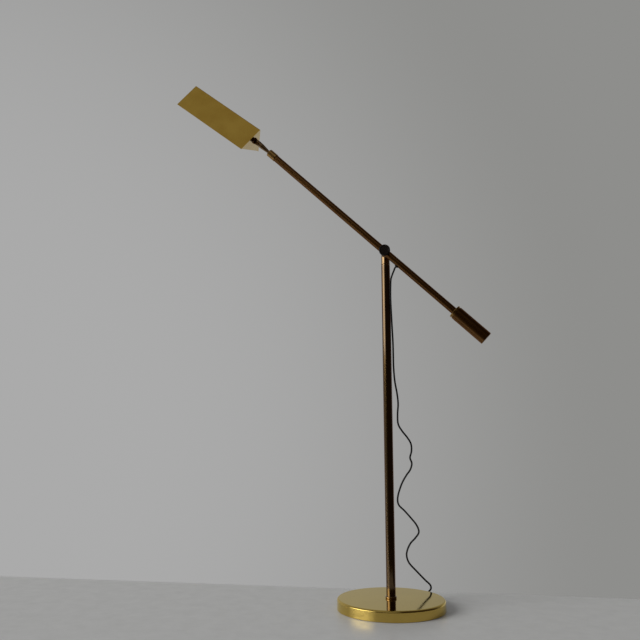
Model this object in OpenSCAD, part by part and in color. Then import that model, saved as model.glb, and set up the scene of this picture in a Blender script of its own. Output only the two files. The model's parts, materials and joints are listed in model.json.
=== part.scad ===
// Floor-standing reading lamp: a round weighted base, a straight pole, a balanced arm that swivels and
// tilts on the pole's top, and a folded brass shade on a knuckle at the arm's upper end.
// Millimetres. Z is up, the origin is on the floor under the middle of the base, the shade is towards -X.

/* [Base] */
// Diameter of the base
base_d = 254; // [230:1:276]
// Height of the base over the floor
base_h = 24.5; // [20:0.5:40]
// Radius of the rounded top edge
base_edge_r = 4.5; // [2:0.5:8]
// Thickness of the spun cover
base_wall = 1.2; // [0.8:0.1:2]
// Height of the cover's lower edge over the floor
lip_gap = 0.6; // [0.3:0.1:1.5]
// Thickness of the felt under the base
felt_t = 2; // [1:0.5:4]
// Distance from the felt's edge to the cover's wall
felt_margin = 4; // [2:1:20]

/* [Base fastening] */
// Diameter of the threaded rod that holds the pole on the base
rod_d = 10; // [8:1:14]
// Thickness of the washer under the iron weight
base_washer_t = 2; // [1:0.5:3]
// Diameter of that washer
base_washer_d = 30; // [24:1:40]
// Height of the nut
base_nut_h = 7; // [5:0.5:8]
// Width of the nut across its flats
base_nut_w = 17; // [15:1:22]

/* [Pole] */
// Outer diameter of the pole
pole_d = 22; // [19:0.5:25]
// Wall of the pole's tube
pole_wall = 1.2; // [0.8:0.1:2]
// Length of the pole's tube
pole_len = 801; // [500:0.5:1100]
// Length of the plugs in the pole's ends
pole_plug_len = 22; // [14:1:40]
// Width of the ring round the pole's foot
foot_ring_w = 2.3; // [1:0.1:5]
// Height of that ring
foot_ring_h = 5; // [3:0.5:10]
// Height of the groove between the tube's end and the bead
bead_groove_h = 2; // [1:0.1:4]
// Height of the bead at the pole's top
bead_h = 2.6; // [1:0.1:4]
// How far the bead stands out from the pole
bead_w = 0.6; // [0.2:0.1:1]

/* [Swivel head] */
// Diameter of the head's lower part, over the bead
ferrule_d = 21.5; // [18:0.5:28]
// Diameter of the spigot on which the head turns
spigot_d = 12; // [8:0.5:14]
// Height of that spigot
spigot_h = 14; // [10:0.5:16]
// Diameter of the head's round boss
boss_d = 23; // [22:0.5:36]
// Height of the arm's pivot over the pole's top
head_rise = 30.8; // [28:0.1:44]
// How far the boss stands out behind the head's lower part
boss_proud = 0.5; // [0.2:0.1:4]
// Diameter of the screw that keeps the head on its spigot
stop_screw_d = 4; // [3:0.5:5]

/* [Pivot] */
// Diameter of the pivot bolt
bolt_d = 6; // [4:0.5:8]
// Diameter of the bolt's head
bolt_head_d = 13; // [10:0.5:18]
// Height of the bolt's head
bolt_head_h = 3.5; // [2:0.5:5]
// Diameter of the bush through the arm
bush_d = 12; // [10:0.5:14]
// How far the bush stands out of the arm at each side
bush_proud = 0.5; // [0.2:0.1:2]
// Thickness of the friction washers
washer_t = 1; // [0.5:0.1:2]
// Diameter of the friction washers
washer_d = 20; // [16:0.5:24]
// Diameter of the tension knob
knob_d = 28; // [22:0.5:36]
// Height of the tension knob
knob_h = 9; // [8.5:0.5:16]
// Number of grooves round the tension knob
knob_grooves = 24; // [12:1:30]
// Depth of the bolt in the tension knob
knob_grip = 5.5; // [4:0.5:6.5]

/* [Arm] */
// Outer diameter of the arm
arm_d = 17.5; // [15:0.5:20]
// Wall of the arm's tube
arm_wall = 1.2; // [0.8:0.1:2]
// Angle of the arm over the horizontal, as it stands
arm_rise = 43.3; // [36:0.1:45]
// Length of the arm from the pivot to its upper end
arm_fore = 408.5; // [300:0.5:500]

/* [Counterweight] */
// Diameter of the counterweight
weight_d = 34; // [28:0.5:45]
// Length of the counterweight with its ring
weight_len = 101.5; // [90:0.5:160]
// Distance from the pivot to the counterweight
weight_start = 229; // [150:1:300]
// Length of the ring at the counterweight's upper end
weight_ring_len = 6; // [4:0.5:10]
// Depth of the arm in the counterweight
weight_socket = 76; // [40:1:84]
// Depth and width of the groove beside the ring
weight_groove = 1.2; // [0.6:0.1:2]
// Diameter of the counterweight's set screw
weight_screw_d = 5; // [4:0.5:6]

/* [Shade joint] */
// Thickness of the collar round the arm's upper end
collar_t = 1.25; // [0.8:0.05:4]
// Length of that collar
collar_len = 24.5; // [16:0.1:34]
// Thickness of the collar's end wall
collar_wall = 4.8; // [3:0.1:8]
// Diameter of the neck's spigot in the collar
neck_spigot_d = 8; // [6:0.5:9]
// Diameter of the neck's stem
neck_d = 9.5; // [9:0.5:12]
// Length of the neck from the collar to the knuckle's pin
neck_len = 41.5; // [36:0.5:70]
// Diameter of the knuckle
knuckle_d = 13.5; // [12:0.5:18]
// Thickness of the tongue in the knuckle
tongue_t = 5; // [3:0.5:6]
// Diameter of the knuckle's pin
knuckle_pin_d = 4; // [3:0.5:5]
// Distance from the knuckle's pin to the shade
lug_reach = 13.4; // [12:0.1:24]
// Turn of the shade about the arm, as it stands
shade_roll = -24.8; // [-40:0.1:0]
// Drop of the shade from the arm's line, as it stands
shade_drop = 5.5; // [0:0.1:12]

/* [Shade] */
// Length of the shade
shade_len = 235; // [190:1:280]
// Width of each of the shade's two faces
shade_slant = 77; // [70:0.5:100]
// Angle between each face and the shade's middle plane
shade_half_angle = 36; // [36:1:44]
// Thickness of the sheet
shade_sheet = 0.8; // [0.6:0.1:1.2]
// Outer radius of the fold along the ridge
ridge_r = 2; // [1.6:0.1:5]
// Height of the ridge over the middle of the knuckle
ridge_lift = 34; // [31:0.5:36]
// Diameter of the threaded stub that holds the shade and its socket
stub_d = 10; // [8:0.5:12]
// Thickness of the nut on that stub
stub_nut_h = 4; // [3:0.5:6]

/* [Bulb and switch] */
// Diameter of the bulb's socket
socket_d = 31; // [30:0.1:32]
// Length of the socket
socket_len = 40; // [34:1:50]
// Length of the socket's closed back
socket_back = 18; // [16:0.5:22]
// Diameter of the bulb's screw cap
cap_d = 26; // [25:0.1:26.5]
// Diameter of the bulb's glass
bulb_d = 25.4; // [20:0.1:28]
// Length of the bulb's glass
bulb_len = 112; // [80:1:125]
// Diameter of the switch's shaft
switch_shaft_d = 4; // [3:0.5:5]
// Diameter of the switch's knob
switch_knob_d = 13; // [10:0.5:18]
// Height of the switch's knob
switch_knob_h = 9; // [6:0.5:14]

/* [Cord] */
// Diameter of the cord
cord_d = 4.4; // [3.6:0.1:4.5]
// Diameter of the grommet's flange
grommet_d = 10; // [9:0.5:13]
// Distance from the pivot to the cord's exit
cord_exit_s = 47.5; // [44:0.1:51]
// Turns of the put-away coil, half of them in each layer
coil_turns = 7; // [5:2:9]
// Outer radius of the coil, at the cord's middle
coil_r = 30.7; // [28:0.1:31]
// Gap between one turn of the coil and the next
coil_space = 0.5; // [0.45:0.05:0.7]
// Length of the plug, with its sleeve
plug_len = 42; // [36:1:52]
// Length of the tapered sleeve at the plug's rear
plug_sleeve = 20; // [16:1:25]
// Width of the plug's body
plug_w = 17; // [14:0.5:20]
// Height of the plug's body
plug_h = 13; // [10:0.5:14]

/* [Hidden] */
$fn = 64;
// Radial clearance of a running fit, and the clearance between faces that turn on each other
run_gap = 0.05;
// Clearance of a loose fit
loose_gap = 0.3;
// Overlap that keeps cuts clean
cut = 1;

pole_bore_d = pole_d - 2 * pole_wall;
pole_top_z = base_h + pole_len;
bead_z = pole_top_z + bead_groove_h;
spigot_z = bead_z + bead_h;
stop_z = spigot_z + spigot_h / 2;
head_z = spigot_z + run_gap;
pivot_z = pole_top_z + head_rise;
boss_front = max(pole_d / 2 + bead_w, ferrule_d / 2) + 0.1;
boss_back = ferrule_d / 2 + boss_proud;
bush_len = arm_d + 2 * bush_proud;
bush_front = boss_front + run_gap + washer_t + bush_len;
arm_y = -(bush_front - bush_len / 2);
knob_back = bush_front + washer_t + run_gap;
arm_bore_d = arm_d - 2 * arm_wall;
arm_aft = weight_start + weight_ring_len + weight_socket;
collar_d = arm_d + 2 * collar_t;
collar_face = arm_fore + collar_wall;
neck_base = collar_face + run_gap;
pin_x = collar_face + neck_len;
slot_w = tongue_t + 4 * run_gap;
knuckle_flat = knuckle_d * 0.87;
rod_foot_z = felt_t + 1;
base_washer_z = rod_foot_z + base_nut_h + base_washer_t;
ridge_z = ridge_lift;
rim_y = shade_slant * sin(shade_half_angle);
rim_z = ridge_z - shade_slant * cos(shade_half_angle);
shell_x = lug_reach;
nut_x = shell_x + shade_sheet;
socket_x = nut_x + stub_nut_h + loose_gap;
switch_x = socket_x + socket_back - switch_shaft_d;
cap_x = socket_x + socket_back;
glass_x = socket_x + socket_len + 2;
face_reach = ridge_z * sin(shade_half_angle);
rubber_hole_d = cord_d + 2.6;

// The cord's route, chosen by hand for the sizes named first, moves with the head, the pole and the base
drawn_pivot_z = 856.3;
drawn_base_d = 254;
drawn_pole_d = 22;
head_shift = pivot_z - drawn_pivot_z;
base_shift = (base_d - drawn_base_d) / 2;
pole_shift = (pole_d - drawn_pole_d) / 2;
arm_down = [-sin(arm_rise), 0, -cos(arm_rise)];
pivot_point = [0, arm_y, pivot_z];
exit_point = pivot_point + cord_exit_s * [cos(arm_rise), 0, -sin(arm_rise)];
meeting_point = pivot_point + [18.3, 0, -58.3];
meeting_normal = meeting_point - pivot_point;
exit_points = [exit_point + 4 * arm_down, exit_point + arm_d / 2 * arm_down,
    exit_point + (arm_d / 2 + 6) * arm_down, pivot_point + [21.6, 0, -50.5], meeting_point];
drop_points = [meeting_point + [-0.1, 0, -0.4], pivot_point + [13.7, 6.9, -70.3], [12.4, -11.3, pivot_z - 86.3],
    [11.7, -8.4, pivot_z - 104.3], [11.7, -7.6, pivot_z - 119.3], [12, -7, pivot_z - 136]];
hang_points = [
    [12, -7, 720], [13, -5, 690], [14, -1, 660], [15, 3, 630], [15, 10, 600], [15, 14, 570], [17, 20, 535],
    [22, 24, 503], [24, 28, 478], [22, 32, 452], [23, 35, 428], [33, 38, 410], [44, 42, 396], [53, 45, 380],
    [54, 47, 362], [50, 49, 346], [54, 52, 332], [50, 53, 317], [40, 53, 303], [28, 55, 282], [18, 57, 252],
    [19, 61, 232], [33, 65, 217], [48, 69, 200], [62, 73, 182], [67, 76, 165], [58, 76, 151], [46, 77, 138],
    [38, 77, 122], [36, 79, 107], [42, 82, 90], [60, 88, 70], [79, 94, 50], [91, 99, 38], [93, 103, 28],
    [86, 109, 18], [79, 115, 9], [67, 122, 4], [50, 129, 2.5], [24, 134, 2.6], [1.8, 132.3, 3.3]];
tail_points = [[-7.8, 132.3, 8.3], [-19, 133, 8.2], [-32, 132.8, 7.8], [-45, 131, 7.4]];
plug_heading = [-0.97, -0.24, 0];
coil_gate = [-3, base_d / 2 + 5.3];
coil_middle = coil_gate + [0, coil_r];
coil_step = cord_d + coil_space;
coil_layer = cord_d + 0.6;
coil_low_z = 3.3;
coil_rings = 24;

// Each node's name, as the pieces are called on the bench

// Places

// Local X along the arm towards the shade, local Z square to it and up, origin at the pivot
module arm_frame() {
    translate(pivot_point) rotate([0, 0, 180]) rotate([0, -arm_rise, 0]) children();
}

// As the arm's frame, turned with the neck
module neck_frame() {
    arm_frame() rotate([shade_roll, 0, 0]) children();
}

// Origin at the knuckle's pin, local X along the shade, local Z towards its ridge
module shade_frame() {
    neck_frame() translate([pin_x, 0, 0]) rotate([0, shade_drop, 0]) children();
}

// Local Z runs from the pole's axis towards the front, along the pivot
module pivot_frame() {
    translate([0, 0, pivot_z]) rotate([90, 0, 0]) children();
}

// Local Z runs along local X of the frame around it
module along_x(x) {
    translate([x, 0, 0]) rotate([0, 90, 0]) children();
}

// Shapes used more than once

// Tube or ring between two diameters
module ring(outer_d, inner_d, height) {
    difference() {
        cylinder(d = outer_d, h = height);
        translate([0, 0, -cut]) cylinder(d = inner_d, h = height + 2 * cut);
    }
}

// Turned bar with a chamfer round both ends
module turned_bar(d, h, chamfer) {
    r = d / 2;
    rotate_extrude() polygon([
        [0, 0], [r - chamfer, 0], [r, chamfer], [r, h - chamfer], [r - chamfer, h], [0, h]]);
}

// Hexagonal nut with a round hole
module hex_nut(width, hole_d, height) {
    difference() {
        cylinder(d = width / cos(30), h = height, $fn = 6);
        translate([0, 0, -cut]) cylinder(d = hole_d, h = height + 2 * cut);
    }
}

// Half of a disc's section, with a rounded upper corner
module disc_half(r, low, high, corner) {
    translate([0, low]) square([r - corner, high - low]);
    translate([0, low]) square([r, high - low - corner]);
    translate([r - corner, high - corner]) circle(r = corner);
}

// Half-round bead on a cylinder of diameter d
module bead_ring(d, width, height) {
    rotate_extrude() difference() {
        union() {
            square([d / 2 + width - height / 4, height]);
            translate([0, height / 4]) square([d / 2 + width, height / 2]);
            for (z = [height / 4, height * 3 / 4])
                translate([d / 2 + width - height / 4, z]) circle(r = height / 4);
        }
        translate([-cut, -cut]) square([d / 2 + cut, height + 2 * cut]);
    }
}

// Cords

function unit(v) = v / norm(v);
function spline(a, b, c, d, t) =
    (2 * b + (c - a) * t + (2 * a - 5 * b + 4 * c - d) * t * t + (3 * b - a - 3 * c + d) * t * t * t) / 2;
function held(v) = min(max(v, 0), 1);
// A route's point, moved with the head above and with the base below
function routed(p) = [for (q = p) [q[0] + pole_shift * held((q[2] - 100) / 400),
    q[1] + base_shift * held((300 - q[2]) / 260), q[2] + head_shift * held((q[2] - 40) / 640)]];
// Smooth curve through the points, with the given steps from each to the next
function smooth(p, steps) = let (e = len(p) - 1)
    [for (i = [0 : e - 1], k = [0 : steps - 1])
        spline(p[max(i - 1, 0)], p[i], p[i + 1], p[min(i + 2, e)], k / steps), p[e]];
function tangents(p) = let (e = len(p) - 1) [for (i = [0 : e]) unit(p[min(i + 1, e)] - p[max(i - 1, 0)])];
// Side directions carried along the tangents without twist
function carried(t, u, i = 0) = i == len(t) ? [] :
    let (v = unit(u - t[i] * (u * t[i]))) concat([v], carried(t, v, i + 1));

// Closed tube along the points, with the end faces square to the normals given
module tube(p, sides, side, first, last) {
    e = len(p) - 1;
    along = tangents(p);
    t = [for (i = [0 : e]) i == 0 ? unit(first) : i == e ? unit(last) : along[i]];
    u = carried(t, side);
    rings = [for (i = [0 : e], k = [0 : sides - 1])
        p[i] + cord_d / 2 * (cos(360 * k / sides) * u[i] + sin(360 * k / sides) * cross(t[i], u[i]))];
    walls = [for (i = [0 : e - 1], k = [0 : sides - 1]) let (a = i * sides + k, b = i * sides + (k + 1) % sides)
        each [[a, a + sides, b + sides], [a, b + sides, b]]];
    caps = [for (k = [1 : sides - 2]) each [[0, k, k + 1], [e * sides, e * sides + k + 1, e * sides + k]]];
    polyhedron(rings, concat(walls, caps));
}

// The coil spirals in on the floor, climbs in its middle half turn and spirals out on top
function coil_turn(k) = let (half = coil_turns / 2, a = -90 - 360 * k,
    r = coil_r - coil_step * (half - abs(half - k)), climb = held((k - half) * 2 + 0.5))
    [coil_middle[0] + r * cos(a), coil_middle[1] + r * sin(a),
        coil_low_z + coil_layer * (3 - 2 * climb) * climb * climb];
coil_path = [for (i = [0 : coil_turns * coil_rings]) coil_turn(i / coil_rings)];
coil_lead = [cord_d, 0, 0];
coil_points = concat([coil_path[0] + coil_lead], coil_path, [coil_path[len(coil_path) - 1] - coil_lead]);
coil_gap = min([for (i = [0 : len(coil_points) - 1], j = [i + coil_rings / 2 : 1 : len(coil_points) - 1])
    norm(coil_points[i] - coil_points[j])]) - cord_d;
echo(str("least gap between the coil's turns: ", coil_gap, " mm"));

// Base

module base_cover() {
    color("#a8914a") difference() {
        rotate_extrude() difference() {
            disc_half(base_d / 2, lip_gap, base_h, base_edge_r);
            translate([0, -cut])
                disc_half(base_d / 2 - base_wall, 0, base_h - base_wall + cut, base_edge_r - base_wall);
        }
        cylinder(d = rod_d + 2 * loose_gap, h = base_h + cut);
    }
}

module base_weight() {
    color("#3c3a38") difference() {
        rotate_extrude() disc_half(base_d / 2 - base_wall - loose_gap, felt_t, base_h - base_wall, base_edge_r);
        cylinder(d = rod_d + 2 * loose_gap, h = base_h);
        translate([0, 0, felt_t - cut]) cylinder(d = base_washer_d + 2 * cut, h = base_washer_z - felt_t + cut);
    }
}

module base_felt() {
    color("#2f3b2c") cylinder(d = base_d - 2 * base_wall - 2 * felt_margin, h = felt_t);
}

module base_rod() {
    color("#8d8f92") translate([0, 0, rod_foot_z]) cylinder(d = rod_d, h = base_h + pole_plug_len - rod_foot_z);
}

module base_washer() {
    color("#8d8f92") translate([0, 0, base_washer_z - base_washer_t]) ring(base_washer_d, rod_d, base_washer_t);
}

module base_nut() {
    color("#8d8f92") translate([0, 0, rod_foot_z]) hex_nut(base_nut_w, rod_d, base_nut_h);
}

// Pole

module foot_ring() {
    color("#8a6a30") translate([0, 0, base_h]) bead_ring(pole_d, foot_ring_w, foot_ring_h);
}

module pole_foot_plug() {
    color("#8a6a30") translate([0, 0, base_h]) ring(pole_bore_d, rod_d, pole_plug_len);
}

module pole_tube() {
    color("#5a3d18") translate([0, 0, base_h]) ring(pole_d, pole_bore_d, pole_len);
}

// The plug in the pole's top, with its bead and the grooved spigot that carries the head
module pole_top_plug() {
    color("#8a6a30") difference() {
        union() {
            translate([0, 0, pole_top_z - pole_plug_len])
                cylinder(d = pole_bore_d, h = pole_plug_len + bead_groove_h);
            translate([0, 0, bead_z]) cylinder(d = pole_d, h = bead_h);
            translate([0, 0, bead_z]) bead_ring(pole_d, bead_w, bead_h);
            translate([0, 0, spigot_z]) cylinder(d = spigot_d, h = spigot_h);
        }
        translate([0, 0, stop_z - stop_screw_d / 2 - loose_gap])
            ring(spigot_d + 2 * cut, spigot_d - 2, stop_screw_d + 2 * loose_gap);
    }
}

// Swivel head and pivot

module swivel_head() {
    color("#6b4a1e") difference() {
        union() {
            translate([0, 0, head_z]) cylinder(d = ferrule_d, h = pivot_z - head_z);
            pivot_frame() translate([0, 0, -boss_back]) turned_bar(boss_d, boss_back + boss_front, 0.8);
        }
        translate([0, 0, head_z - cut]) cylinder(d = spigot_d + 2 * run_gap, h = spigot_h + loose_gap + cut);
        pivot_frame() translate([0, 0, -boss_back - cut])
            cylinder(d = bolt_d + 2 * run_gap, h = boss_back + boss_front + 2 * cut);
        translate([0, 0, stop_z]) rotate([-90, 0, 0]) cylinder(d = stop_screw_d, h = ferrule_d);
    }
}

module swivel_stop_screw() {
    tip = spigot_d / 2 - 1 + loose_gap;
    color("#8d8f92") translate([0, tip, stop_z]) rotate([-90, 0, 0])
        difference() {
            cylinder(d = stop_screw_d, h = ferrule_d / 2 - tip);
            translate([0, 0, ferrule_d / 2 - tip - 1.2]) cylinder(d = stop_screw_d / 2, h = 1.2 + cut, $fn = 6);
        }
}

module pivot_bolt() {
    color("#8d8f92") pivot_frame() difference() {
        union() {
            translate([0, 0, -boss_back - bolt_head_h]) turned_bar(bolt_head_d, bolt_head_h, 0.8);
            translate([0, 0, -boss_back]) cylinder(d = bolt_d, h = boss_back + knob_back + knob_grip);
        }
        translate([-bolt_head_d, -0.8, -boss_back - bolt_head_h - cut]) cube([2 * bolt_head_d, 1.6, 1.2 + cut]);
    }
}

// Grooved knob with a dished face
module pivot_knob() {
    face = 0.8;
    rim = knob_d / 2;
    color("#1c1b1a") pivot_frame() translate([0, 0, knob_back]) difference() {
        rotate_extrude() polygon([[0, 0], [rim - 1, 0], [rim, 1], [rim, knob_h - 1.5], [rim - 1.5, knob_h],
            [rim - 3.5, knob_h], [rim - 4.5, knob_h - face], [0, knob_h - face]]);
        translate([0, 0, -cut]) cylinder(d = bolt_d + 2 * run_gap, h = knob_grip + loose_gap + cut);
        for (i = [0 : knob_grooves - 1]) rotate([0, 0, 360 * i / knob_grooves])
            translate([rim + 0.3, 0, -cut]) cylinder(d = 1.8, h = knob_h + 2 * cut, $fn = 16);
    }
}

// Arm

module arm_tube() {
    color("#5a3d18") arm_frame() difference() {
        along_x(-arm_aft) ring(arm_d, arm_bore_d, arm_aft + arm_fore);
        rotate([90, 0, 0]) cylinder(d = bush_d, h = 2 * arm_d, center = true);
        translate([-cord_exit_s, 0, -arm_d]) cylinder(d = rubber_hole_d, h = arm_d);
    }
}

module arm_bush() {
    color("#8a6a30") pivot_frame() translate([0, 0, bush_front - bush_len])
        ring(bush_d, bolt_d + 2 * run_gap, bush_len);
}

module friction_washers() {
    color("#6e5a44") pivot_frame() for (z = [bush_front - bush_len - washer_t, bush_front])
        translate([0, 0, z]) ring(washer_d, bolt_d + 2 * run_gap, washer_t);
}

module counterweight() {
    body_len = weight_len - weight_ring_len;
    color("#5a3d18") arm_frame() difference() {
        along_x(-weight_start - weight_len) turned_bar(weight_d, body_len, 1.2);
        along_x(-arm_aft) cylinder(d = arm_d, h = weight_socket + cut);
        translate([-weight_start - 2 * weight_ring_len - weight_screw_d, 0, -weight_d])
            cylinder(d = weight_screw_d, h = weight_d);
    }
}

// Locking ring, with a groove between it and the weight
module counterweight_ring() {
    color("#8a6a30") arm_frame() along_x(-weight_start - weight_ring_len) difference() {
        union() {
            translate([0, 0, weight_groove]) turned_bar(weight_d, weight_ring_len - weight_groove, 0.8);
            cylinder(d = weight_d - 2 * weight_groove, h = weight_groove);
        }
        translate([0, 0, -cut]) cylinder(d = arm_d, h = weight_ring_len + 2 * cut);
    }
}

module counterweight_screw() {
    depth = weight_d / 2 - arm_d / 2 - 1;
    x = -weight_start - 2 * weight_ring_len - weight_screw_d;
    color("#8d8f92") arm_frame() translate([x, 0, -arm_d / 2])
        rotate([180, 0, 0]) difference() {
            cylinder(d = weight_screw_d, h = depth);
            translate([0, 0, depth - 2]) cylinder(d = weight_screw_d / 2, h = 2 + cut, $fn = 6);
        }
}

// Cap on the arm's upper end, in which the neck turns
module arm_collar() {
    color("#b59a4c") arm_frame() difference() {
        along_x(collar_face - collar_len) turned_bar(collar_d, collar_len, 0.7);
        along_x(collar_face - collar_len - cut) cylinder(d = arm_d, h = collar_len - collar_wall + cut);
        along_x(arm_fore - cut) cylinder(d = neck_spigot_d + 2 * run_gap, h = collar_wall + 2 * cut);
    }
}

module cord_grommet() {
    proud = 1.6;
    neck_in = arm_wall + 0.8;
    color("#141414") arm_frame() difference() {
        translate([-cord_exit_s, 0, 0]) rotate([180, 0, 0]) union() {
            difference() {
                translate([0, 0, arm_d / 4]) cylinder(d = grommet_d, h = arm_d / 4 + proud);
                rotate([0, 90, 0]) cylinder(d = arm_d, h = 2 * grommet_d, center = true);
            }
            translate([0, 0, arm_d / 2 - neck_in]) cylinder(d = rubber_hole_d, h = neck_in + proud);
        }
        translate([-cord_exit_s, 0, -arm_d]) cylinder(d = cord_d + 2 * loose_gap, h = arm_d);
    }
}

// Shade joint

// Stem with a spigot in the collar and a fork for the shade's tongue
module neck() {
    stem = neck_d / 2;
    ball = knuckle_d / 2;
    back = arm_fore - 5;
    fork = pin_x - knuckle_d;
    color("#6b4a1e") neck_frame() difference() {
        intersection() {
            along_x(0) rotate_extrude() polygon([
                [0, back], [neck_spigot_d / 2, back], [neck_spigot_d / 2, neck_base], [stem + 1.5, neck_base],
                [stem + 1.5, neck_base + 2], [stem - 0.5, neck_base + 3], [stem - 0.5, neck_base + 6],
                [ball, fork], [ball, pin_x + ball], [0, pin_x + ball]]);
            union() {
                translate([0, -knuckle_d, -knuckle_d]) cube([pin_x, 2 * knuckle_d, 2 * knuckle_d]);
                translate([pin_x, 0, 0]) rotate([90, 0, 0])
                    cylinder(d = knuckle_d, h = 2 * knuckle_d, center = true);
            }
        }
        translate([pin_x - ball - loose_gap, -slot_w / 2, -knuckle_d])
            cube([knuckle_d * 2, slot_w, 2 * knuckle_d]);
        for (y = [knuckle_flat / 2, -knuckle_flat / 2 - knuckle_d])
            translate([pin_x - ball, y, -knuckle_d]) cube([knuckle_d * 2, knuckle_d, 2 * knuckle_d]);
        translate([pin_x, 0, 0]) rotate([90, 0, 0])
            cylinder(d = knuckle_pin_d, h = 2 * knuckle_d, center = true);
    }
}

// Nut that keeps the neck's spigot in the collar
module neck_nut() {
    color("#8d8f92") neck_frame() along_x(arm_fore - 4 - run_gap) hex_nut(neck_spigot_d + 3, neck_spigot_d, 4);
}

module knuckle_screw() {
    color("#8a6a30") neck_frame() translate([pin_x, knuckle_flat / 2 + 2, 0]) rotate([90, 0, 0]) difference() {
        union() {
            turned_bar(knuckle_pin_d + 4, 2, 0.5);
            cylinder(d = knuckle_pin_d, h = knuckle_flat + 4.5);
        }
        translate([-knuckle_d, -0.5, -cut]) cube([2 * knuckle_d, 1, 0.8 + cut]);
    }
}

module knuckle_nut() {
    color("#8a6a30") neck_frame() translate([pin_x, -knuckle_flat / 2, 0]) rotate([90, 0, 0])
        hex_nut(knuckle_pin_d + 3, knuckle_pin_d, 2.5);
}

// Tongue in the knuckle, its flange on the shade's end and the threaded stub behind that
module shade_lug() {
    eye = knuckle_d / 2 - loose_gap;
    flange_t = 2.6;
    stub_len = shade_sheet + stub_nut_h + loose_gap + socket_back / 2;
    color("#6b4a1e") shade_frame() difference() {
        union() {
            rotate([90, 0, 0]) cylinder(r = eye, h = tongue_t, center = true);
            translate([0, -tongue_t / 2, -eye]) cube([lug_reach - flange_t, tongue_t, 2 * eye]);
            along_x(lug_reach - flange_t) turned_bar(2 * eye + 4, flange_t, 0.5);
            along_x(lug_reach - cut) cylinder(d = stub_d, h = cut + stub_len);
        }
        rotate([90, 0, 0]) cylinder(d = knuckle_pin_d + 2 * run_gap, h = knuckle_d, center = true);
    }
}

// Shade

// Section of the folded sheet, with its ridge up and its rims open below
module fold_section() {
    a = shade_half_angle;
    steps = 12;
    turns = [for (i = [0 : steps]) a + (180 - 2 * a) * i / steps];
    inner_r = ridge_r - shade_sheet;
    down = (shade_slant - ridge_r / tan(a)) * [sin(a), -cos(a)];
    outer_rim = ridge_r * [cos(a), sin(a)] + down;
    inner_rim = inner_r * [cos(a), sin(a)] + down;
    outer = [for (t = turns) ridge_r * [cos(t), sin(t)]];
    inner = [for (t = turns) inner_r * [-cos(t), sin(t)]];
    translate([0, ridge_z - ridge_r / sin(a)]) polygon(concat([outer_rim], outer,
        [[-outer_rim[0], outer_rim[1]], [-inner_rim[0], inner_rim[1]]], inner, [inner_rim]));
}

// Outline of the space inside the fold, closed along the rims
module end_outline(inset) {
    a = shade_half_angle;
    top = ridge_z - inset / sin(a);
    low = rim_z + inset;
    polygon([[0, top], [(top - low) * tan(a), low], [-(top - low) * tan(a), low]]);
}

module shade_shell() {
    color("#a8862f") shade_frame() difference() {
        translate([shell_x, 0, 0]) rotate([90, 0, 90]) linear_extrude(shade_len) fold_section();
        translate([switch_x, 0, 0]) rotate([90 - shade_half_angle, 0, 0])
            cylinder(d = switch_shaft_d + 3, h = face_reach + cut);
    }
}

// End plate between the two faces, set in from the ridge's bend
module shade_end(x) {
    translate([x, 0, 0]) rotate([90, 0, 90]) linear_extrude(shade_sheet) intersection() {
        end_outline(shade_sheet);
        translate([-2 * rim_y, rim_z]) square([4 * rim_y, ridge_z - rim_z - ridge_r / sin(shade_half_angle)]);
    }
}

module shade_end_near() {
    color("#a8862f") shade_frame() difference() {
        shade_end(shell_x);
        along_x(0) cylinder(d = stub_d, h = 2 * shell_x);
    }
}

module shade_end_far() {
    color("#a8862f") shade_frame() shade_end(shell_x + shade_len - shade_sheet);
}

module stub_nut() {
    color("#8d8f92") shade_frame() along_x(nut_x) hex_nut(stub_d + 6, stub_d, stub_nut_h);
}

// Bulb and switch

module bulb_socket() {
    color("#1c1b1a") shade_frame() difference() {
        along_x(socket_x) turned_bar(socket_d, socket_len, 1);
        along_x(socket_x - cut) cylinder(d = stub_d, h = socket_back / 2 + cut);
        along_x(socket_x + socket_back) cylinder(d = cap_d + 2 * loose_gap, h = socket_len);
        translate([switch_x, 0, 0]) rotate([90 - shade_half_angle, 0, 0]) translate([0, 0, stub_d / 2 + 1])
            cylinder(d = switch_shaft_d + 2 * run_gap, h = socket_d);
    }
}

module bulb_cap() {
    color("#b0a27a") shade_frame() {
        along_x(cap_x) cylinder(d1 = cap_d / 2, d2 = cap_d, h = 3);
        along_x(cap_x + 3) cylinder(d = cap_d, h = glass_x - cap_x - 3);
    }
}

// Tubular bulb with a narrowed neck and a round end
module bulb_glass() {
    r = bulb_d / 2;
    color("#f3ead2") shade_frame() along_x(glass_x) rotate_extrude() {
        polygon([[0, 0], [r - 1.5, 0], [r, 6], [r, bulb_len - r], [0, bulb_len - r]]);
        intersection() {
            translate([0, bulb_len - r]) circle(r = r);
            square([r, bulb_len]);
        }
    }
}

// Turn knob outside the hidden face, on the switch's shaft
module switch_knob() {
    rim = switch_knob_d / 2;
    start = face_reach + 2 * loose_gap;
    color("#1c1b1a") shade_frame() translate([switch_x, 0, 0]) rotate([90 - shade_half_angle, 0, 0]) union() {
        translate([0, 0, stub_d / 2 + 1 + loose_gap]) cylinder(d = switch_shaft_d, h = start);
        difference() {
            translate([0, 0, start]) turned_bar(switch_knob_d, switch_knob_h, 1);
            for (i = [0 : 11]) rotate([0, 0, 30 * i]) translate([rim + 0.4, 0, start + 2])
                cylinder(d = 2, h = switch_knob_h, $fn = 16);
        }
    }
}

// Cord, coil and plug

module cord_exit() {
    color("#141414") tube(smooth(exit_points, 2), 8, [0, 1, 0], arm_down, meeting_normal);
}

module cord_drop() {
    color("#141414") tube(smooth(drop_points, 2), 8, [0, 1, 0], meeting_normal, [0, 0, -1]);
}

module cord_hang() {
    color("#141414") tube(smooth(routed(hang_points), 2), 8, [0, 1, 0], [0, 0, -1], [-1, 0, 0]);
}

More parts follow.
